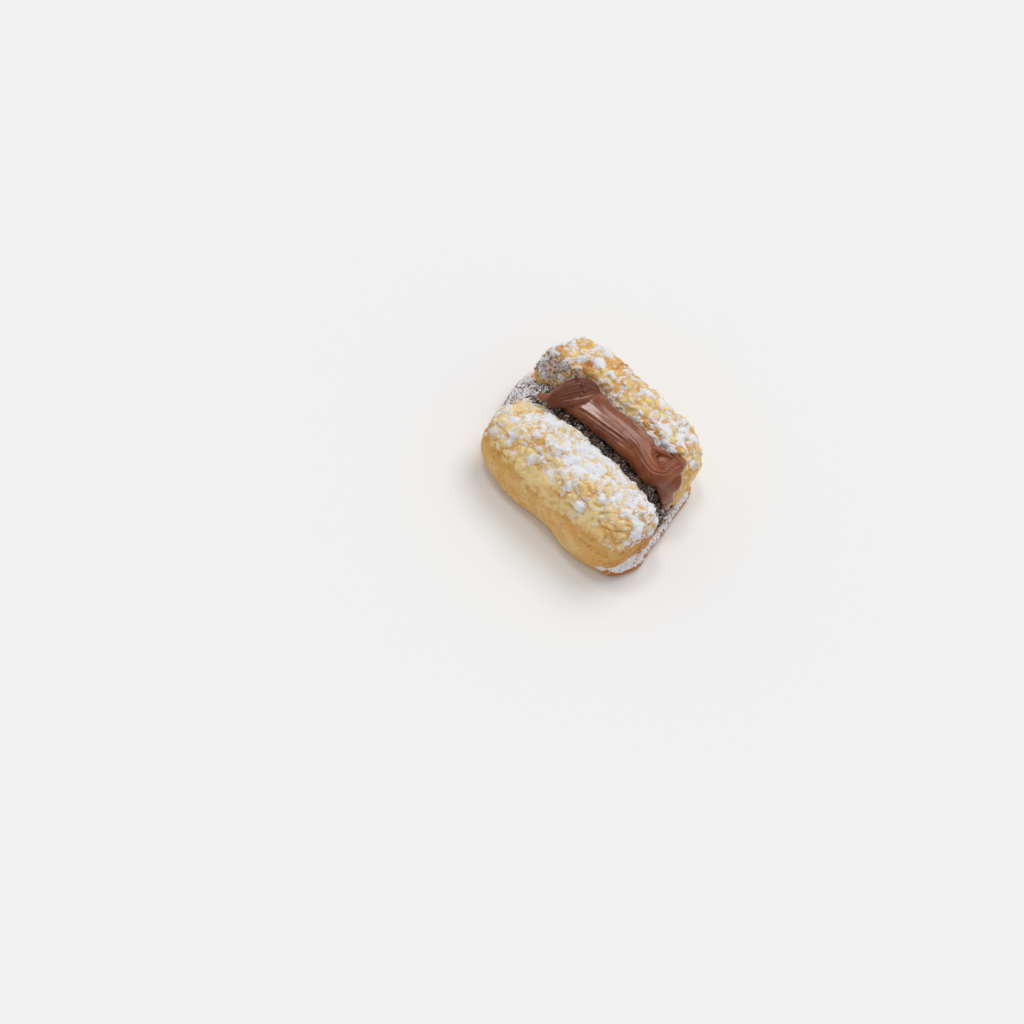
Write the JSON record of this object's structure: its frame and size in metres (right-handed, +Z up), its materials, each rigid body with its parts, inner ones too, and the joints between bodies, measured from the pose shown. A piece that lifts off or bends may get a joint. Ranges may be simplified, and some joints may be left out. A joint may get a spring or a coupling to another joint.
{
  "type": "filled shortbread cookie",
  "caption": "Small shortbread cookie folded over a baked chocolate filling, with a glossy ribbon of chocolate spread piped along the groove on top.",
  "frame": {"origin": "middle of the foot, on the surface that the cookie rests on", "axes": "+X along the groove towards the end with the chocolate drop, +Y across it from the near fold to the far fold, +Z up"},
  "size_m": [0.06, 0.0462, 0.0245],
  "materials": {
    "shortbread": "pale baked dough, craggy on top and smooth on the sides, golden at the ends, with powdered sugar",
    "filling": "dry, crumbly baked chocolate with specks of sugar",
    "chocolate_ribbon": "soft milk chocolate spread, satin to glossy, with fine ridges along the stroke"
  },
  "bodies": {
    "root": {"shortbread": "shortbread", "filling": "filling", "chocolate_ribbon": "chocolate_ribbon"}
  },
  "joints": []
}
